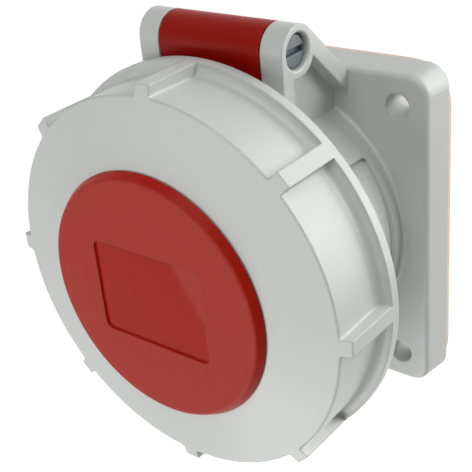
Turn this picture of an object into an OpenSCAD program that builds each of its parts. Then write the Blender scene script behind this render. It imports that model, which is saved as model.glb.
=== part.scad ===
// Panel-mounted power socket with a hinged lid that locks by a turning bayonet ring.
// The panel is the plane y = 0, the socket faces -Y and +Z is up.

/* [Flange] */
// Width of the flange past the collar, at the middle of each side
flange_lap = 6.5; // [6:0.1:9]
// Thickness of the flange
flange_t = 7.7; // [6:0.1:9]
// Plan radius of the flange's corners
flange_corner_r = 5; // [3.5:0.5:6]
// Inset of the front face from the back face, on each side
flange_draft = 0.7; // [0.4:0.1:2]
// Rounding of the flange's front edge
flange_edge_r = 1.1; // [0.5:0.1:1.5]
// Distance from a fixing hole to the flange's sides
hole_edge = 7.65; // [6.8:0.05:9]
// Diameter of a fixing hole
hole_d = 5.6; // [4.5:0.1:6.2]
// Thickness of the gasket behind the flange
gasket_t = 1; // [0.6:0.1:2]
// Plan radius of the gasket's corners
gasket_corner_r = 9; // [6:0.5:11]

/* [Collar] */
// Outer diameter of the collar
collar_d = 62.3; // [61:0.1:64]
// Wall of the collar
collar_wall = 2.9; // [2.4:0.1:3.2]
// Fillet where the collar meets the flange
collar_fillet_r = 0.8; // [0.4:0.1:1.5]
// Chamfer inside the collar's front edge
collar_chamfer = 0.8; // [0.4:0.1:1.2]
// Width of the keyway in the collar's bore
keyway_w = 7; // [5:0.5:9]
// Depth of the keyway in the collar's bore
keyway_depth = 1.5; // [1:0.1:1.6]
// Height of the sunk panel on each side of the collar
side_panel_h = 38.8; // [30:0.2:42]
// Length of the sunk panel along the collar
side_panel_len = 18; // [12:0.5:20]
// Distance from the flange to the sunk panel
side_panel_start = 3.8; // [2:0.1:7]
// Depth of the sunk panel
side_panel_depth = 0.8; // [0.4:0.1:1]

/* [Bayonet ring] */
// Room between the collar and the ring's drum
skirt_room = 7.95; // [7.2:0.05:8.6]
// Height of the rear rim and of the grip ribs at the rim, above the drum
rib_h = 2.5; // [1.8:0.1:4]
// Thickness of the rear rim
rim_t = 2.3; // [1.8:0.1:3.2]
// Distance from the panel to the back of the rear rim
ring_back = 34.2; // [32:0.1:36]
// Length of the ring from the back of its rim to its front edge
ring_len = 17; // [16:0.1:18]
// Wall of the drum
ring_wall = 2.9; // [2.4:0.1:3.2]
// Thickness of the ring's front
ring_front_t = 2.6; // [2:0.1:3]
// Height of the sloped front above the front edge
ring_rise = 3.2; // [2:0.1:4]
// Number of grip ribs
rib_count = 8; // [4:1:16]
// Width of a grip rib
rib_w = 3.5; // [2.5:0.1:5]
// Fall of a grip rib's top from the rim to the front edge
rib_fall = 0.1; // [0:0.1:0.8]
// Fillet at the foot of a grip rib
rib_fillet_r = 0.5; // [0.3:0.1:0.8]

/* [Bayonet lock] */
// Turn of the ring from released to locked
lock_turn = 45; // [40:1:48]
// Angle that a lug and a ramp cover
lug_span = 26; // [20:1:28]
// Height of a lug above the collar
lug_h = 4.7; // [3.8:0.1:5.2]
// Thickness of a lug and of a ramp
lug_t = 3.4; // [2.6:0.1:3.8]
// Distance from the collar's front edge to a lug
lug_set_back = 2; // [1.5:0.1:3]
// Room between a ramp and the collar
ramp_room = 2.1; // [1.9:0.1:2.6]
// Slope of the faces that draw the ring in
lock_slope = 4; // [2:0.5:5]

/* [Lid] */
// Thickness of the lid's plate
lid_t = 2.6; // [2.2:0.1:3]
// Distance from the ring's front edge back to the lid's plate
lid_set_back = 2.8; // [2.4:0.1:3.6]
// Wall of the hub that the ring turns on
hub_wall = 2.5; // [1.8:0.1:3]
// Diameter of the front cap
cap_d = 55.5; // [53:0.5:58]
// Overhang of the cap over the hub
cap_overhang = 4; // [3:0.1:5]
// Height of the cap's sloped edge
cap_h = 1.9; // [1.4:0.1:2.6]
// Run of the cap's sloped edge
cap_edge_run = 1.1; // [0.6:0.1:2]
// Rounding between the cap's front and its sloped edge
cap_round_r = 1; // [0.5:0.1:1.2]
// Width of the sunk field on the cap
field_w = 28.6; // [20:0.2:34]
// Height of the sunk field on the cap
field_h = 21.5; // [14:0.1:26]
// Depth of the sunk field on the cap
field_depth = 0.5; // [0.3:0.1:0.8]
// Corner radius of the sunk field
field_corner_r = 1.6; // [0.8:0.1:3]
// Width of the seal past the collar's wall, on each side
seal_overlap = 1.1; // [0.8:0.1:1.5]
// Depth of the seal's groove
seal_groove = 1.2; // [0.8:0.1:1.6]
// Height of the seal above the lid's plate
seal_proud = 0.9; // [0.6:0.1:1.2]

/* [Hinge] */
// Height of the hinge axis above the ring's rim
hinge_lift = 0.8; // [0.5:0.1:3]
// Space between the hinge barrel and the ring's rim
hinge_gap = 3.1; // [2.6:0.1:5]
// Diameter of the hinge barrel and of the ears' ends
barrel_d = 10.8; // [10:0.1:12]
// Diameter of the hinge pin
pin_d = 7.3; // [6:0.1:8]
// Distance of the pin's ends inside the ears' faces
pin_recess = 1; // [0.5:0.1:2]
// Width over both ears
ears_w = 36.6; // [34:0.2:40]
// Thickness of an ear
ear_t = 5.2; // [4.4:0.1:6.5]
// Thickness of the web inside an ear
web_t = 1.7; // [1.2:0.1:2.4]
// Width of an ear's two struts
strut_w = 3.5; // [2.6:0.1:4]
// Room between the lid's arm and the collar
arm_room = 2.2; // [2:0.1:2.6]
// Thickness of the lid's arm
arm_t = 3.3; // [2.6:0.1:3.6]
// Thickness of the arm's upright below the barrel
upright_t = 4.2; // [3:0.1:5]

/* [Contacts] */
// Distance from the carrier's side in to the contacts
contact_inset = 9.25; // [8:0.05:11]
// Bore of a phase or neutral sleeve
sleeve_bore_d = 5.06; // [4.8:0.02:5.4]
// Bore of the earth sleeve
earth_bore_d = 7.06; // [6.6:0.02:7.4]
// Length of a sleeve's bore
sleeve_bore_len = 24; // [18:0.5:24.5]
// Wall of a sleeve
sleeve_wall = 0.95; // [0.7:0.05:1.2]
// Length of the slit in a sleeve
slit_len = 12; // [8:0.5:16]
// Width of the slit in a sleeve
slit_w = 0.8; // [0.5:0.1:1.2]
// Thickness of a sleeve's spring ring
spring_t = 0.6; // [0.4:0.05:0.8]
// Width of a sleeve's spring ring
spring_w = 2.4; // [1.5:0.1:4]
// Height of a contact's stop ring above its sleeve
stop_h = 1.4; // [1.2:0.1:1.8]
// Length of a contact's stop ring
stop_len = 3; // [2:0.1:3.4]
// Diameter of a terminal
terminal_d = 8; // [7:0.1:8.6]
// Length of a terminal behind the carrier base
terminal_len = 8; // [7:0.5:10]
// Diameter of a terminal's wire hole
wire_hole_d = 3.8; // [3:0.1:4.4]

/* [Carrier] */
// Distance from the collar's front edge back to the carrier's face
carrier_set_back = 5.8; // [5:0.1:9]
// Radial room for the plug's shroud around the carrier
shroud_room = 5; // [4.8:0.1:5.6]
// Distance from the carrier's face back to the sleeves
sleeve_set_back = 8.2; // [6:0.1:10]
// Chamfer at the mouth of a contact's hole
mouth_chamfer = 0.6; // [0.3:0.1:0.8]
// Thickness of the carrier base inside the collar
base_plug_t = 3.8; // [3.4:0.1:5]
// Thickness of the carrier base's edge behind the flange
base_edge_t = 3; // [2.4:0.1:4]
// Width of the carrier base's edge past the collar's bore
base_lap = 6; // [5.4:0.1:7]
// Chamfer around the carrier's face
carrier_chamfer = 1; // [0.5:0.1:2]

/* [Screws] */
// Diameter of the screw through the middle of the carrier
carrier_screw_d = 4; // [3:0.1:5]
// Depth of the carrier screw in the carrier
carrier_screw_grip = 12; // [8:0.5:20]
// Diameter of a base screw
base_screw_d = 2.5; // [2:0.1:3]
// Depth of a base screw in the housing
base_screw_grip = 4; // [3:0.1:4.5]
// Diameter of a terminal screw
terminal_screw_d = 3; // [2.5:0.1:3.5]
// Diameter of a cap screw
cap_screw_d = 3; // [2.5:0.1:3.5]
// Depth of a cap screw in its boss
cap_screw_grip = 4.4; // [3:0.1:5]
// Distance from the hub's wall in to the cap screws
cap_screw_inset = 6.5; // [4.5:0.1:9]
// Wall of a boss around its cap screw
boss_wall = 1.5; // [1:0.1:2]
// Height of a screw's head
head_t = 1.6; // [1.2:0.1:2]
// Width of a screw's slot
slot_w = 0.8; // [0.5:0.1:1.2]

/* [Fits] */
// Room between pieces that move past each other
free_gap = 0.3; // [0.25:0.05:0.4]
// Radial clearance of the hinge pin in its bores
pin_clearance = 0.05; // [0.02:0.01:0.09]
// Radial clearance of a piece put into a hole and left there
slip = 0.2; // [0.1:0.05:0.3]

/* [Hidden] */
$fn = 96;

GREY = "#c3c6c2";
PALE_GREY = "#cfd2ce";
RED = "#a23a34";
DARK_RED = "#8f2a25";
PEACH = "#f4dcc8";
SLATE = "#6b747b";
BLACK = "#2a2b2d";
BRASS = "#c9a85c";
STEEL = "#b4b7ba";

// Overlap that joins the pieces of one moulding, and the reach of a cut past a face
join = 1;

// Distances out from the panel
flange_back = gasket_t;
flange_front = flange_back + flange_t;
ring_front = ring_back + ring_len;
ring_crown = ring_front + ring_rise;
cap_base = ring_crown + free_gap;
cap_front = cap_base + cap_h;
land_back = ring_crown - ring_front_t;
hub_step = land_back - free_gap;
lid_front = ring_front - lid_set_back;
lid_back = lid_front - lid_t;
seal_seat = lid_back + seal_groove;
seal_back = lid_back - seal_proud;
collar_front = seal_back - free_gap;
lug_front = collar_front - lug_set_back;
lug_back = lug_front - lug_t;
carrier_front = collar_front - carrier_set_back;
sleeve_front = carrier_front - sleeve_set_back;
base_front = flange_back + base_plug_t;
base_back = flange_back - base_edge_t;
stop_back = base_front - stop_len;
terminal_back = base_back - terminal_len;
terminal_mid = (terminal_back + base_back) / 2;

// Square of the flange and of its fixing holes
flange_w = collar_d + 2 * flange_lap;
hole_pitch = flange_w - 2 * hole_edge;

// Radii about the socket's axis
collar_r = collar_d / 2;
bore_r = collar_r - collar_wall;
carrier_r = bore_r - shroud_room;
base_r = bore_r + base_lap;
skirt_r = collar_r + skirt_room;
drum_r = skirt_r + ring_wall;
rim_r = drum_r + rib_h;
rib_tip_r = rim_r - rib_fall;
rim_fillet_r = 0.8 * rib_h;
cap_r = cap_d / 2;
slope_foot_r = cap_r + free_gap;
ring_edge = 0.25;
slope_edge_r = drum_r - ring_edge;
hub_r = cap_r - cap_overhang;
hub_bore_r = hub_r - hub_wall;
land_r = cap_r - join;
lug_r = collar_r + lug_h;
ramp_r = collar_r + ramp_room;
arm_in_r = collar_r + arm_room;
arm_out_r = arm_in_r + arm_t;
seal_in_r = bore_r - seal_overlap;
seal_out_r = collar_r + seal_overlap;

// Hinge, with its axis along X
barrel_r = barrel_d / 2;
pin_r = pin_d / 2;
pin_hole_r = pin_r + pin_clearance;
hinge_out = ring_back - hinge_gap - barrel_r;
hinge_up = rim_r + hinge_lift;
ear_outer = ears_w / 2;
ear_inner = ear_outer - ear_t;
barrel_half = ear_inner - free_gap;
strut_foot = flange_w / 2 - flange_draft - flange_edge_r / 2;

// Contacts, their carrier and its fixings
contact_count = 5;
contact_circle_r = carrier_r - contact_inset;
earth_angle = -90;
terminal_r = terminal_d / 2;
wire_hole_r = wire_hole_d / 2;
carrier_screw_r = carrier_screw_d / 2;
base_screw_r = base_screw_d / 2;
terminal_screw_r = terminal_screw_d / 2;
cap_screw_r = cap_screw_d / 2;

// Distance out from the panel of the ring's sloped front, at a radius
function slope_out(r) = ring_front - ring_rise * (r - slope_edge_r) / (slope_edge_r - slope_foot_r);

function sleeve_bore_r(i) = (i == 0 ? earth_bore_d : sleeve_bore_d) / 2;
function sleeve_r(i) = sleeve_bore_r(i) + sleeve_wall;
function cavity_r(i) = sleeve_r(i) + spring_t + slip;
function stop_r(i) = sleeve_r(i) + stop_h;

// Turns the socket's own axes, x right, y up and z out of the panel, into the part's frame
module socket_frame() {
    rotate([90, 0, 0]) children();
}

// A shape drawn with x out of the panel and y up, made solid between two distances along the hinge
module across(from, to) {
    translate([to, 0, 0]) rotate([0, -90, 0]) linear_extrude(to - from) children();
}

// Cylinder along the hinge axis
module hinge_rod(r, from, to) {
    translate([from, hinge_up, hinge_out]) rotate([0, 90, 0]) cylinder(r = r, h = to - from);
}

module rod(r, z0, z1) {
    translate([0, 0, z0]) cylinder(r = r, h = z1 - z0);
}

module tube(r_out, r_in, z0, z1) {
    difference() {
        rod(r_out, z0, z1);
        rod(r_in, z0 - join, z1 + join);
    }
}

// Piece of a tube about the z axis, centred on the x axis
module sector(r_in, r_out, z0, z1, span) {
    rotate([0, 0, -span / 2]) rotate_extrude(angle = span)
        translate([r_in, z0]) square([r_out - r_in, z1 - z0]);
}

// Half space in front of, or behind, a face that slopes along the ring's turn
module sloped_half_space(z, side) {
    reach = 2 * rim_r;
    translate([0, 0, z]) rotate([lock_slope, 0, 0])
        translate([0, -reach / 2, side > 0 ? 0 : -reach]) cube(reach);
}

module at_corners(w, h) {
    for (x = [-1, 1], y = [-1, 1]) translate([x * w / 2, y * h / 2, 0]) children();
}

module rounded_rect(w, h, r) {
    square([w, h - 2 * r], center = true);
    square([w - 2 * r, h], center = true);
    at_corners(w - 2 * r, h - 2 * r) circle(r);
}

// Fillet in a corner between a face along x and a face along y
module fillet(r) {
    difference() {
        translate([-join, -join]) square(r + join);
        translate([r, r]) circle(r);
    }
}

module at_contact(i) {
    rotate([0, 0, earth_angle + i * 360 / contact_count])
        translate([contact_circle_r, 0, 0]) children();
}

module at_base_screws() {
    for (a = [45:90:315]) rotate([0, 0, a])
        translate([(bore_r + base_r) / 2, 0, 0]) children();
}

module at_cap_screws() {
    for (a = [45:90:315]) rotate([0, 0, a])
        translate([hub_bore_r - cap_screw_inset, 0, 0]) children();
}

// Slotted screw that points along +z, with the seat of its head at z = 0
module slotted_screw(r, len) {
    head_r = 2 * r;
    difference() {
        union() {
            rod(r, 0, len);
            rod(head_r, -head_t, 0);
        }
        translate([-head_r - join, -slot_w / 2, -head_t - join])
            cube([2 * (head_r + join), slot_w, head_t / 2 + join]);
    }
}

// Half section of the flange's edge, from the centre of a corner outwards
module flange_edge() {
    front_r = flange_corner_r - flange_draft;
    round_r = front_r - flange_edge_r;
    polygon([
        [0, 0], [flange_corner_r, 0], [front_r, flange_t - flange_edge_r],
        [round_r, flange_t], [0, flange_t]
    ]);
    translate([round_r, flange_t - flange_edge_r]) intersection() {
        circle(flange_edge_r);
        square(flange_edge_r);
    }
}

module flange_plate() {
    straight = flange_w - 2 * flange_corner_r;
    translate([0, 0, flange_back]) {
        translate([-straight / 2, -straight / 2, 0]) cube([straight, straight, flange_t]);
        for (side = [0:90:270]) rotate([0, 0, side]) translate([straight / 2, straight / 2, 0]) {
            rotate([90, 0, 0]) linear_extrude(straight) flange_edge();
            rotate_extrude(angle = 90) flange_edge();
        }
    }
}

module collar_tube() {
    rod(collar_r, flange_back, collar_front);
    rotate_extrude() translate([collar_r, flange_front]) fillet(collar_fillet_r);
}

// Lug on the collar with a sloped back that draws the ring in as it turns
module bayonet_lug() {
    difference() {
        sector(collar_r - join, lug_r, lug_back - lug_t / 2, lug_front, lug_span);
        sloped_half_space(lug_back, -1);
    }
}

// Ear seen from its side: boss around the pin, upright strut and strut to the flange
module ear_struts() {
    reach = [hinge_out - flange_front, hinge_up - strut_foot];
    lean = atan2(reach[1], reach[0]) + asin(barrel_r / norm(reach));
    run = sqrt(norm(reach) ^ 2 - barrel_r ^ 2);
    translate([hinge_out, hinge_up]) circle(barrel_r);
    translate([hinge_out + barrel_r - strut_w, 0]) square([strut_w, hinge_up]);
    translate([flange_front, strut_foot]) rotate(lean)
        translate([-strut_w, -strut_w]) square([run + strut_w, strut_w]);
}

module ear_web() {
    front = hinge_out + barrel_r - strut_w / 2;
    back = flange_front - join;
    polygon([
        [back, strut_foot - strut_w], [flange_front, strut_foot - strut_w / 2],
        [hinge_out, hinge_up], [front, hinge_up], [front, 0], [back, 0]
    ]);
}

module ear() {
    lip = 0.35;
    difference() {
        union() {
            across(ear_inner, ear_outer) ear_struts();
            across(ear_inner, ear_inner + web_t) ear_web();
        }
        hinge_rod(pin_hole_r, ear_inner - join, ear_outer + join);
        translate([ear_outer - lip, hinge_up, hinge_out]) rotate([0, 90, 0])
            cylinder(r1 = pin_hole_r, r2 = pin_hole_r + 2 * lip, h = 2 * lip);
    }
}

// Sunk panel on one side of the collar
module side_panel() {
    mid = flange_front + side_panel_start + side_panel_len / 2;
    corner_r = 1.5;
    intersection() {
        tube(collar_r + join, collar_r - side_panel_depth, flange_front, ring_back);
        across(0, collar_d) translate([mid, 0]) rounded_rect(side_panel_len, side_panel_h, corner_r);
    }
}

module housing() {
    color(GREY) socket_frame() difference() {
        union() {
            flange_plate();
            collar_tube();
            for (side = [0, 1]) mirror([side, 0, 0]) ear();
            for (a = [0, 180]) rotate([0, 0, a]) bayonet_lug();
        }
        rod(bore_r, flange_back - join, collar_front + join);
        translate([-keyway_w / 2, -bore_r - keyway_depth, base_front])
            cube([keyway_w, bore_r, collar_front]);
        translate([0, 0, collar_front - collar_chamfer])
            cylinder(r1 = bore_r, r2 = bore_r + 2 * collar_chamfer, h = 2 * collar_chamfer);
        at_corners(hole_pitch, hole_pitch) rod(hole_d / 2, flange_back - join, flange_front + join);
        for (side = [0, 1]) mirror([side, 0, 0]) side_panel();
        at_base_screws() rod(base_screw_r, flange_back - join, flange_back + base_screw_grip + slip);
    }
}

module flange_gasket() {
    color(PEACH) socket_frame() difference() {
        linear_extrude(gasket_t) rounded_rect(flange_w, flange_w, gasket_corner_r);
        rod(base_r + 2 * slip, -join, gasket_t + join);
        at_corners(hole_pitch, hole_pitch) rod(hole_d / 2, -join, gasket_t + join);
    }
}

module hinge_pin() {
    end = ear_outer - pin_recess;
    pin_slot_w = 1.3;
    pin_slot_depth = 1.2;
    pin_chamfer = 0.5;
    color(SLATE) socket_frame() difference() {
        union() {
            hinge_rod(pin_r, pin_chamfer - end, end - pin_chamfer);
            for (side = [0, 1]) mirror([side, 0, 0])
                translate([end - pin_chamfer, hinge_up, hinge_out]) rotate([0, 90, 0])
                    cylinder(r1 = pin_r, r2 = pin_r - pin_chamfer, h = pin_chamfer);
        }
        translate([end - pin_slot_depth, hinge_up - pin_slot_w / 2, hinge_out - pin_d])
            cube([pin_d, pin_slot_w, 2 * pin_d]);
    }
}

// Block with the five holes that the plug's pins enter
module contact_carrier() {
    color(BLACK) socket_frame() difference() {
        union() {
            rod(carrier_r, base_front, carrier_front - carrier_chamfer);
            translate([0, 0, carrier_front - carrier_chamfer])
                cylinder(r1 = carrier_r, r2 = carrier_r - carrier_chamfer, h = carrier_chamfer);
        }
        for (i = [0:contact_count - 1]) at_contact(i) {
            rod(cavity_r(i), base_front - join, carrier_front + join);
            translate([0, 0, carrier_front - mouth_chamfer])
                cylinder(r1 = cavity_r(i), r2 = cavity_r(i) + 2 * mouth_chamfer, h = 2 * mouth_chamfer);
        }
        rod(carrier_screw_r, base_front - join, base_front + carrier_screw_grip + slip);
    }
}

// Base that closes the collar from behind and holds the contacts' stop rings
module carrier_base() {
    color(BLACK) socket_frame() difference() {
        union() {
            rod(base_r, base_back, flange_back);
            rod(bore_r - slip, base_back, base_front);
        }
        for (i = [0:contact_count - 1]) at_contact(i) {
            rod(terminal_r + slip, base_back - join, base_front + join);
            rod(stop_r(i) + slip, stop_back, base_front + join);
        }
        rod(carrier_screw_r + slip, base_back - join, base_front + join);
        at_base_screws() rod(base_screw_r + slip, base_back - join, flange_back + join);
    }
}

module carrier_screw() {
    color(STEEL) socket_frame() translate([0, 0, base_back])
        slotted_screw(carrier_screw_r, base_front - base_back + carrier_screw_grip);
}

module base_screws() {
    color(STEEL) socket_frame() at_base_screws() translate([0, 0, base_back])
        slotted_screw(base_screw_r, base_edge_t + base_screw_grip);
}

// Split sleeve, stop ring and screw terminal turned from one bar
module contact(i) {
    color(BRASS) socket_frame() at_contact(i) difference() {
        union() {
            rod(sleeve_r(i), stop_back, sleeve_front);
            rod(stop_r(i), stop_back, base_front);
            rod(terminal_r, terminal_back, stop_back + join);
        }
        rod(sleeve_bore_r(i), sleeve_front - sleeve_bore_len, sleeve_front + join);
        translate([-stop_r(i), -slit_w / 2, sleeve_front - slit_len])
            cube([2 * stop_r(i), slit_w, slit_len + join]);
        rod(wire_hole_r, terminal_back - join, base_back - join);
        translate([0, 0, terminal_mid]) rotate([0, 90, 0]) rod(terminal_screw_r, 0, terminal_d);
    }
}

module contact_earth() { contact(0); }
module contact_neutral() { contact(1); }
module contact_line_1() { contact(2); }
module contact_line_2() { contact(3); }
module contact_line_3() { contact(4); }

// Open steel rings that press the split sleeves onto a plug's pins
module sleeve_springs() {
    spring_back = sleeve_front - slit_len / 2;
    opening = 40;
    color(STEEL) socket_frame() for (i = [0:contact_count - 1]) at_contact(i) rotate([0, 0, 90])
        sector(sleeve_r(i), sleeve_r(i) + spring_t, spring_back, spring_back + spring_w, 360 - opening);
}

module terminal_screws() {
    color(STEEL) socket_frame() for (i = [0:contact_count - 1]) at_contact(i)
        translate([terminal_r, 0, terminal_mid]) rotate([0, -90, 0])
            slotted_screw(terminal_screw_r, terminal_r - wire_hole_r);
}

// Barrel on the hinge pin, upright below it, and arm that passes between collar and ring
module lid_arm() {
    upright_back = hinge_out + barrel_r - upright_t;
    hinge_rod(barrel_r, -barrel_half, barrel_half);
    difference() {
        union() {
            translate([-barrel_half, 0, upright_back]) cube([2 * barrel_half, hinge_up, upright_t]);
            intersection() {
                translate([-barrel_half, 0, upright_back])
                    cube([2 * barrel_half, hinge_up, lid_back + join - upright_back]);
                rod(arm_out_r, 0, lid_front);
            }
        }
        rod(arm_in_r, 0, lid_back);
    }
}

// Lid plate with the hub that the ring turns on, the seal's groove and the hinge arm
module lid() {
    color(DARK_RED) socket_frame() difference() {
        union() {
            rod(arm_out_r, lid_back, lid_front);
            tube(land_r, hub_bore_r, lid_front - join, hub_step);
            tube(hub_r, hub_bore_r, lid_front - join, cap_base);
            lid_arm();
        }
        tube(seal_out_r, seal_in_r, lid_back - join, seal_seat);
        hinge_rod(pin_hole_r, -ear_outer, ear_outer);
        at_cap_screws() {
            rod(cap_screw_r + slip, lid_back - join, lid_front + join);
            rod(2 * cap_screw_r + slip, lid_back - join, lid_back + head_t);
        }
    }
}

module lid_seal() {
    color(BLACK) socket_frame() tube(seal_out_r, seal_in_r, seal_back, seal_seat);
}

// Half section of the cap: a flat front with a rounding that meets the sloped edge in a slight crease
module cap_section() {
    slope = atan2(cap_h, cap_edge_run);
    round_start_r = cap_r - cap_edge_run - 0.95 * cap_round_r * tan(slope / 2);
    difference() {
        polygon([[0, 0], [cap_r, 0], [cap_r - cap_edge_run, cap_h], [0, cap_h]]);
        translate([round_start_r, cap_h - cap_round_r]) difference() {
            translate([0, cap_round_r * cos(slope)]) square(cap_round_r);
            circle(cap_round_r);
        }
    }
}

module lid_cap() {
    color(RED) socket_frame() difference() {
        union() {
            translate([0, 0, cap_base]) rotate_extrude() cap_section();
            at_cap_screws() rod(cap_screw_r + boss_wall, lid_front, cap_front - cap_h / 2);
        }
        at_cap_screws() rod(cap_screw_r, lid_front - join, lid_front + cap_screw_grip + slip);
        translate([0, 0, cap_front - field_depth]) linear_extrude(cap_h)
            rounded_rect(field_w, field_h, field_corner_r);
    }
}

module cap_screws() {
    color(STEEL) socket_frame() at_cap_screws() translate([0, 0, lid_back + head_t])
        slotted_screw(cap_screw_r, lid_t - head_t + cap_screw_grip);
}

// Half section of the ring: rear rim, drum, sloped front and the land under the cap
module ring_section() {
    polygon([
        [skirt_r, ring_back], [rim_r, ring_back],
        [rim_r, ring_back + rim_t], [drum_r, ring_back + rim_t],
        [drum_r, ring_front - ring_edge], [slope_edge_r, ring_front],
        [slope_foot_r, ring_crown], [hub_r + free_gap, ring_crown],
        [hub_r + free_gap, land_back], [cap_r, land_back],
        [skirt_r, ring_front - ring_front_t]
    ]);
    translate([drum_r, ring_back + rim_t]) fillet(rim_fillet_r);
}

// Half section that the grip ribs fill: tops that fall forwards, ends that carry on the sloped front
module rib_section() {
    inside_r = drum_r - ring_wall / 2;
    polygon([
        [inside_r, ring_back], [rim_r, ring_back], [rim_r, ring_back + rim_t],
        [rib_tip_r, slope_out(rib_tip_r)], [slope_edge_r, ring_front], [inside_r, ring_front - ring_edge]
    ]);
}

// Grip rib seen along the ring's axis, with the fillets at its foot
module rib_plan() {
    foot_r = sqrt(drum_r ^ 2 - (rib_w / 2 + 2 * rib_fillet_r) ^ 2);
    translate([0, -rib_w / 2]) square([2 * rim_r, rib_w]);
    for (side = [0, 1]) mirror([0, side]) translate([foot_r, rib_w / 2]) fillet(rib_fillet_r);
}

// Ramp that passes behind a lug, drawn where it stands when the ring is locked
module bayonet_ramp() {
    difference() {
        sector(ramp_r, skirt_r + join, lug_back - lug_t, lug_back + lug_t / 2, lug_span);
        sloped_half_space(lug_back - free_gap, 1);
    }
}

module bayonet_ring() {
    color(PALE_GREY) socket_frame() {
        rotate_extrude() ring_section();
        intersection() {
            rotate_extrude() rib_section();
            for (i = [0:rib_count - 1]) rotate([0, 0, i * 360 / rib_count])
                translate([0, 0, ring_back]) linear_extrude(ring_len) rib_plan();
        }
        for (a = [0, 180]) rotate([0, 0, a + lock_turn]) bayonet_ramp();
    }
}

housing();
flange_gasket();
hinge_pin();
contact_carrier();
carrier_base();
carrier_screw();
base_screws();
contact_earth();
contact_neutral();
contact_line_1();
contact_line_2();
contact_line_3();
sleeve_springs();
terminal_screws();
lid();
lid_seal();
lid_cap();
cap_screws();
bayonet_ring();
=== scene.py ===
"""Looks of the panel socket: moulded grey, red and black polyamide, a foam gasket, brass and plated steel."""

import math

import bpy
from mathutils import Matrix, Quaternion, Vector


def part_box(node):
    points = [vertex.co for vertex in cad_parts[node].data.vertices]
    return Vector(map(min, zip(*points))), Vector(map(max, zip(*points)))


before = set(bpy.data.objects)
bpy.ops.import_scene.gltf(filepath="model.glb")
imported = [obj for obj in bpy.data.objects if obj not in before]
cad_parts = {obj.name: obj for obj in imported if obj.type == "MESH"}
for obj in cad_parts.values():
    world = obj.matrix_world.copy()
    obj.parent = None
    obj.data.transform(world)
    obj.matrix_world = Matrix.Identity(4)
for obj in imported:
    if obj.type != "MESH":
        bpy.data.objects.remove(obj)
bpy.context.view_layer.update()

MM = 0.001

# Camera, as the photograph was taken: from the right of the socket's front and above it. Its place is in
# metres, its turns are in degrees, and the lens and its sensor are in millimetres
CAMERA_AT = (0.127493, -0.176804, 0.104474)
CAMERA_AZIMUTH, CAMERA_ELEVATION, CAMERA_ROLL = 40.584, 27.703, -5.702
CAMERA_LENS, CAMERA_SENSOR = 76.304, 36.0
CAMERA_NEAR, CAMERA_FAR = 0.01, 100.0

# The lamps face this point. The floor lies well below the socket, which hangs as on a wall
SOCKET_MIDDLE = Vector((0.0, -0.03, 0.0))
FLOOR_Z, FLOOR_WIDTH = -1.0, 60.0

# The cap's grain ends this far behind its flat face. Its sunk field lies nearer to its axis than the first of
# the two distances, and its rounded rim farther than the second
cap_low, cap_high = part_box("lid_cap")
CAP_FACE_Y = cap_low.y
GRAIN_END_Y = CAP_FACE_Y + 0.4 * MM
CAP_RADIUS = (cap_high.x - cap_low.x) / 2
FIELD_REACH, RIM_REACH = 0.65 * CAP_RADIUS, 0.88 * CAP_RADIUS

# Moulded plastic: how wide its colour drifts, how much more the grain counts there than the drift, how far
# the shine varies with the grain, and how high the grain stands
DRIFT_MM, GRAIN_WEIGHT, SHINE_SWING, GRAIN_HEIGHT = 25, 2.0, 0.04, 0.1 * MM
PLASTIC_IOR = 1.53
# An edge is rubbed where its rounded normal leaves the face's own: the cosines where that starts and is full,
# and the share of the roughness that is left there
RUB_STARTS, RUB_FULL, RUBBED_ROUGHNESS = 0.99, 0.85, 0.4

# Turned metal: the spacing of its tool rings, and how many radians a wave texture of scale 1 runs in a metre
TOOL_RING_MM, WAVE_RADIANS = 0.592, 20

# Places of a Mix node's sockets, which share their names: the factor, its two numbers and its two colours
FACTOR = 0
NUMBER_A, NUMBER_B, NUMBER_OUT = 2, 3, 0
COLOUR_A, COLOUR_B, COLOUR_OUT = 6, 7, 2


def linear(hex_code):
    """An sRGB hex colour as the linear RGBA that a socket takes."""
    parts = [int(hex_code[i:i + 2], 16) / 255 for i in (1, 3, 5)]
    return [c / 12.92 if c <= 0.04045 else ((c + 0.055) / 1.055) ** 2.4 for c in parts] + [1.0]


def add(tree, kind, settings=None, inputs=None):
    """One shader node with its settings. An input given as a socket is linked, any other is set."""
    made = tree.nodes.new("ShaderNode" + kind)
    for name, value in (settings or {}).items():
        setattr(made, name, value)
    for name, value in (inputs or {}).items():
        if isinstance(value, bpy.types.NodeSocket):
            tree.links.new(value, made.inputs[name])
        else:
            made.inputs[name].default_value = value
    return made


def start(name):
    """A new material with an empty tree, its coordinates in metres and its shader."""
    material = bpy.data.materials.new(name)
    material.use_nodes = True
    tree = material.node_tree
    tree.nodes.clear()
    place = add(tree, "TexCoord").outputs["Object"]
    shader = add(tree, "BsdfPrincipled")
    add(tree, "OutputMaterial", inputs={"Surface": shader.outputs["BSDF"]})
    return material, tree, place, shader


def per_metre(size_mm):
    """Scale of a noise or cell texture whose features are this many millimetres wide."""
    return 1 / (size_mm * MM)


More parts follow.
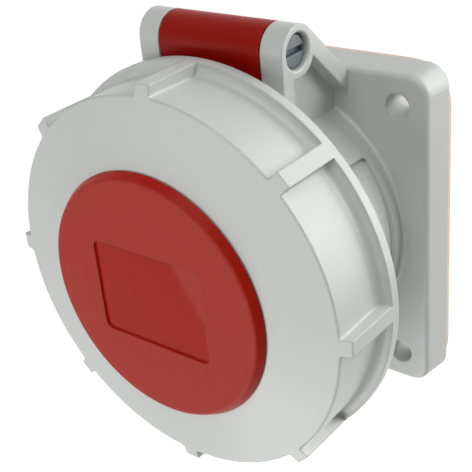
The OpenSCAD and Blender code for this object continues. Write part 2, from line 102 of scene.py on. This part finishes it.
def moulded(name, pale, deep, roughness, grain_mm, grain_depth, edge_mm, specular=0.5):
    """Injection-moulded plastic: colour that drifts a little, a grain, and soft edges, rubbed smoother."""
    material, tree, place, shader = start(name)
    drift = add(tree, "TexNoise", inputs={"Vector": place, "Scale": per_metre(DRIFT_MM), "Detail": 2.0})
    grain = add(tree, "TexNoise",
                inputs={"Vector": place, "Scale": per_metre(grain_mm), "Detail": 3.0, "Roughness": 0.6})
    speckle = add(tree, "Math", {"operation": "MULTIPLY_ADD"},
                  {0: grain.outputs["Fac"], 1: GRAIN_WEIGHT, 2: drift.outputs["Fac"]})
    share = add(tree, "MapRange",
                inputs={"Value": speckle.outputs["Value"], "From Min": 0.9, "From Max": 2.1})
    tint = add(tree, "Mix", {"data_type": "RGBA"},
               {FACTOR: share.outputs["Result"], COLOUR_A: linear(deep), COLOUR_B: linear(pale)})
    dull = add(tree, "MapRange",
               inputs={"Value": grain.outputs["Fac"], "From Min": 0.3, "From Max": 0.7,
                       "To Min": roughness - SHINE_SWING, "To Max": roughness + SHINE_SWING})
    edge = add(tree, "Bevel", {"samples": 6}, {"Radius": edge_mm * MM})
    bump = add(tree, "Bump", inputs={"Height": grain.outputs["Fac"], "Strength": grain_depth,
                                     "Distance": GRAIN_HEIGHT, "Normal": edge.outputs["Normal"]})
    turn = add(tree, "VectorMath", {"operation": "DOT_PRODUCT"},
               {0: edge.outputs["Normal"], 1: add(tree, "NewGeometry").outputs["Normal"]})
    rubbed = add(tree, "MapRange",
                 inputs={"Value": turn.outputs["Value"], "From Min": RUB_STARTS, "From Max": RUB_FULL})
    shine = add(tree, "Mix", {"data_type": "FLOAT"},
                {FACTOR: rubbed.outputs["Result"], NUMBER_A: dull.outputs["Result"],
                 NUMBER_B: RUBBED_ROUGHNESS * roughness})
    tree.links.new(tint.outputs[COLOUR_OUT], shader.inputs["Base Color"])
    tree.links.new(shine.outputs[NUMBER_OUT], shader.inputs["Roughness"])
    tree.links.new(bump.outputs["Normal"], shader.inputs["Normal"])
    shader.inputs["IOR"].default_value = PLASTIC_IOR
    shader.inputs["Specular IOR Level"].default_value = specular
    return material


def polish_behind_face(material, deep, field_roughness, rim_roughness):
    """Keeps the grain on the cap's flat face only, so that its field and rim shine and show a deeper red."""
    tree = material.node_tree
    shader = tree.nodes["Principled BSDF"]
    grain_tint = shader.inputs["Base Color"].links[0].from_socket
    grain_dull = shader.inputs["Roughness"].links[0].from_socket
    bump = shader.inputs["Normal"].links[0].from_node
    depth = bump.inputs["Strength"].default_value
    place = add(tree, "TexCoord").outputs["Object"]
    axes = add(tree, "SeparateXYZ", inputs={"Vector": place})
    across = add(tree, "VectorMath", {"operation": "MULTIPLY"}, {0: place, 1: (1.0, 0.0, 1.0)})
    reach = add(tree, "VectorMath", {"operation": "LENGTH"}, {0: across.outputs["Vector"]})
    shine = add(tree, "MapRange",
                inputs={"Value": reach.outputs["Value"], "From Min": FIELD_REACH, "From Max": RIM_REACH,
                        "To Min": field_roughness, "To Max": rim_roughness})
    face = add(tree, "MapRange", {"interpolation_type": "SMOOTHSTEP"},
               {"Value": axes.outputs["Y"], "From Min": GRAIN_END_Y, "From Max": CAP_FACE_Y})
    tint = add(tree, "Mix", {"data_type": "RGBA"},
               {FACTOR: face.outputs["Result"], COLOUR_A: linear(deep), COLOUR_B: grain_tint})
    dull = add(tree, "Mix", {"data_type": "FLOAT"},
               {FACTOR: face.outputs["Result"], NUMBER_A: shine.outputs["Result"], NUMBER_B: grain_dull})
    rise = add(tree, "MapRange", inputs={"Value": face.outputs["Result"], "To Min": 0.0, "To Max": depth})
    tree.links.new(tint.outputs[COLOUR_OUT], shader.inputs["Base Color"])
    tree.links.new(dull.outputs[NUMBER_OUT], shader.inputs["Roughness"])
    tree.links.new(rise.outputs["Result"], bump.inputs["Strength"])


def turned_brass():
    """Turned brass: warm metal with fine tool rings around each sleeve."""
    material, tree, place, shader = start("brass_turned")
    rings = add(tree, "TexWave", {"wave_type": "BANDS", "bands_direction": "Y"},
                {"Vector": place, "Scale": per_metre(TOOL_RING_MM) * math.tau / WAVE_RADIANS,
                 "Distortion": 0.4, "Detail": 1.0})
    dull = add(tree, "MapRange", inputs={"Value": rings.outputs["Fac"], "To Min": 0.22, "To Max": 0.34})
    bump = add(tree, "Bump",
               inputs={"Height": rings.outputs["Fac"], "Strength": 0.15, "Distance": 0.05 * MM})
    tree.links.new(dull.outputs["Result"], shader.inputs["Roughness"])
    tree.links.new(bump.outputs["Normal"], shader.inputs["Normal"])
    shader.inputs["Base Color"].default_value = linear("#d0b069")
    shader.inputs["Metallic"].default_value = 1.0
    return material


def plated_steel():
    """Zinc-plated steel: pale cool metal with a soft, uneven shine."""
    material, tree, place, shader = start("steel_zinc_plated")
    cloud = add(tree, "TexNoise", inputs={"Vector": place, "Scale": per_metre(0.8), "Detail": 4.0})
    dull = add(tree, "MapRange", inputs={"Value": cloud.outputs["Fac"], "To Min": 0.25, "To Max": 0.45})
    edge = add(tree, "Bevel", {"samples": 4}, {"Radius": 0.15 * MM})
    tree.links.new(dull.outputs["Result"], shader.inputs["Roughness"])
    tree.links.new(edge.outputs["Normal"], shader.inputs["Normal"])
    shader.inputs["Base Color"].default_value = linear("#c4c7cb")
    shader.inputs["Metallic"].default_value = 1.0
    return material


def cellular(name, pale, deep, roughness, cell_mm, depth):
    """Rubber or foam sheet: matt, with small cells that darken and dent the surface."""
    material, tree, place, shader = start(name)
    cells = add(tree, "TexVoronoi", inputs={"Vector": place, "Scale": per_metre(cell_mm)})
    tint = add(tree, "Mix", {"data_type": "RGBA"},
               {FACTOR: cells.outputs["Distance"], COLOUR_A: linear(pale), COLOUR_B: linear(deep)})
    bump = add(tree, "Bump",
               inputs={"Height": cells.outputs["Distance"], "Strength": depth, "Distance": 0.1 * MM})
    tree.links.new(tint.outputs[COLOUR_OUT], shader.inputs["Base Color"])
    tree.links.new(bump.outputs["Normal"], shader.inputs["Normal"])
    shader.inputs["Roughness"].default_value = roughness
    return material


# A mould's grain and a lathe's tool rings are too fine to show in a picture of the whole socket, so they are
# drawn coarser. The cap's face has the coarsest grain, because it is the one that the eye should find

# Grey polyamide from a spark-eroded mould: matt on its faces, with a sheen that wakes along the rubbed edges
grey = moulded("polyamide_grey_spark_eroded", pale="#d0d3cf", deep="#cccfcb", roughness=0.38,
               grain_mm=0.35, grain_depth=0.10, edge_mm=0.5, specular=0.75)
# Red polyamide from a coarser mould: a deep red under a faint haze, broken up by its grain
red_cap = moulded("polyamide_red_grained", pale="#b43c33", deep="#ae3027", roughness=0.45,
                  grain_mm=0.8, grain_depth=0.35, edge_mm=0.2, specular=0.11)
polish_behind_face(red_cap, deep="#b31c06", field_roughness=0.04, rim_roughness=0.36)
# The same red from a smoother mould: satin, so that the barrel shows long soft reflections
red_lid = moulded("polyamide_red_satin", pale="#a11305", deep="#9d1004", roughness=0.36,
                  grain_mm=0.35, grain_depth=0.08, edge_mm=0.2, specular=0.11)
# Slate acetal: a cool dark grey with a low, waxy shine
slate = moulded("acetal_slate_moulded", pale="#6a747b", deep="#636d74", roughness=0.35,
                grain_mm=0.3, grain_depth=0.08, edge_mm=0.25)
# Black polyamide: nearly without sheen, so that the mouths of the contacts read as holes
black = moulded("polyamide_black_moulded", pale="#2b2c2e", deep="#252628", roughness=0.45,
                grain_mm=0.4, grain_depth=0.12, edge_mm=0.3)
# Closed-cell foam sheet: dry, speckled by its cut cells. Its near-white colour is partly the foam's own pale
# peach and partly painted light, which stands in for the light that shines through the foam from the lamps
# behind
foam = cellular("foam_peach_closed_cell", pale="#feecdc", deep="#f9d9c3", roughness=0.8,
                cell_mm=0.4, depth=0.3)
# Moulded nitrile rubber: a dull black with a fine tooth
rubber = cellular("nitrile_black_moulded", pale="#242526", deep="#1b1c1d", roughness=0.6,
                  cell_mm=0.5, depth=0.1)
brass = turned_brass()
steel = plated_steel()

FINISH = {
    "housing": grey, "bayonet_ring": grey, "flange_gasket": foam, "hinge_pin": slate,
    "lid": red_lid, "lid_cap": red_cap, "lid_seal": rubber,
    "contact_carrier": black, "carrier_base": black,
    "contact_earth": brass, "contact_neutral": brass,
    "contact_line_1": brass, "contact_line_2": brass, "contact_line_3": brass,
    "sleeve_springs": steel, "terminal_screws": steel, "carrier_screw": steel,
    "base_screws": steel, "cap_screws": steel,
}
for name, material in FINISH.items():
    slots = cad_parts[name].data.materials
    slots.clear()
    slots.append(material)


def seen_white(tree):
    """1 for what the camera sees, directly, in a shiny surface or through a clear one, and 0 for lighting."""
    path = add(tree, "LightPath")
    mirror = add(tree, "Math", {"operation": "MAXIMUM"},
                 {0: path.outputs["Is Glossy Ray"], 1: path.outputs["Is Transmission Ray"]})
    return add(tree, "Math", {"operation": "MAXIMUM"},
               {0: path.outputs["Is Camera Ray"], 1: mirror.outputs["Value"]}).outputs["Value"]


def studio_floor():
    """A wide matt sheet that keeps the socket's shadow and is seen as white, also in shiny surfaces."""
    bpy.ops.object.select_all(action="DESELECT")
    bpy.ops.mesh.primitive_plane_add(size=FLOOR_WIDTH, location=(0, 0, FLOOR_Z))
    floor = bpy.context.object
    floor.name = "studio_floor"
    material = bpy.data.materials.new("paper_white_matt")
    material.use_nodes = True
    tree = material.node_tree
    tree.nodes.clear()
    sheet = add(tree, "BsdfDiffuse", inputs={"Color": linear("#e8e8e8")})
    white = add(tree, "Emission", inputs={"Color": linear("#ffffff"), "Strength": seen_white(tree)})
    both = add(tree, "AddShader", inputs={0: sheet.outputs["BSDF"], 1: white.outputs["Emission"]})
    add(tree, "OutputMaterial", inputs={"Surface": both.outputs["Shader"]})
    floor.data.materials.append(material)


def studio_world(level):
    """White surroundings, which fill the shadows at a low level."""
    world = bpy.data.worlds.new("studio_surroundings")
    bpy.context.scene.world = world
    world.use_nodes = True
    tree = world.node_tree
    tree.nodes.clear()
    strength = add(tree, "MapRange", inputs={"Value": seen_white(tree), "To Min": level, "To Max": 1.0})
    plain = add(tree, "Background",
                inputs={"Color": linear("#ffffff"), "Strength": strength.outputs["Result"]})
    add(tree, "OutputWorld", inputs={"Surface": plain.outputs["Background"]})


def softbox(name, direction, distance, width, level, turn=0.0):
    """A square lamp in a direction from the socket, with the light it gives there in watts per square metre.

    It faces the socket, and can be turned about that line by degrees.
    """
    lamp = bpy.data.lights.new(name, "AREA")
    lamp.shape = "SQUARE"
    lamp.size = width
    lamp.energy = level * math.pi * distance ** 2
    holder = bpy.data.objects.new(name, lamp)
    bpy.context.scene.collection.objects.link(holder)
    outwards = Vector(direction).normalized()
    holder.location = SOCKET_MIDDLE + outwards * distance
    own_turn = Quaternion((0.0, 0.0, 1.0), math.radians(turn))
    holder.rotation_euler = (outwards.to_track_quat("Z", "Y") @ own_turn).to_euler()


def photograph_camera():
    """The camera at the photograph's place, turn and lens."""
    az, el, roll = (math.radians(a) for a in (CAMERA_AZIMUTH, CAMERA_ELEVATION, CAMERA_ROLL))
    back = Vector((math.sin(az) * math.cos(el), -math.cos(az) * math.cos(el), math.sin(el)))
    right = Vector((math.cos(az), math.sin(az), 0.0))
    up = back.cross(right)
    side = right * math.cos(roll) + up * math.sin(roll)
    top = up * math.cos(roll) - right * math.sin(roll)
    lens = bpy.data.cameras.new("photograph_camera")
    lens.lens = CAMERA_LENS
    lens.sensor_width = CAMERA_SENSOR
    lens.clip_start = CAMERA_NEAR
    lens.clip_end = CAMERA_FAR
    camera = bpy.data.objects.new("photograph_camera", lens)
    bpy.context.scene.collection.objects.link(camera)
    turn = Matrix((side, top, back)).transposed().to_4x4()
    camera.matrix_world = Matrix.Translation(CAMERA_AT) @ turn
    bpy.context.scene.camera = camera


studio_floor()
studio_world(level=0.03)
# The front softbox is turned so that one edge of it mirrors in the upper right corner of the cap's field
softbox("front_softbox", direction=(-0.25, -0.94, -0.26), distance=0.8, width=0.9, level=1.65, turn=33.4)
softbox("below_softbox", direction=(-0.1, -0.5, -0.85), distance=1.0, width=0.6, level=0.78)
softbox("top_softbox", direction=(0.16, -0.5, 0.85), distance=0.9, width=0.7, level=1.45)
softbox("rear_low_softbox", direction=(0.59, 0.81, 0.0), distance=1.0, width=0.5, level=0.73)
softbox("rear_right_softbox", direction=(0.80, 0.45, 0.40), distance=1.0, width=0.5, level=1.5)
softbox("rear_top_softbox", direction=(0.35, 0.75, 0.56), distance=1.0, width=0.5, level=0.62)
photograph_camera()
bpy.context.scene.view_settings.view_transform = "Standard"
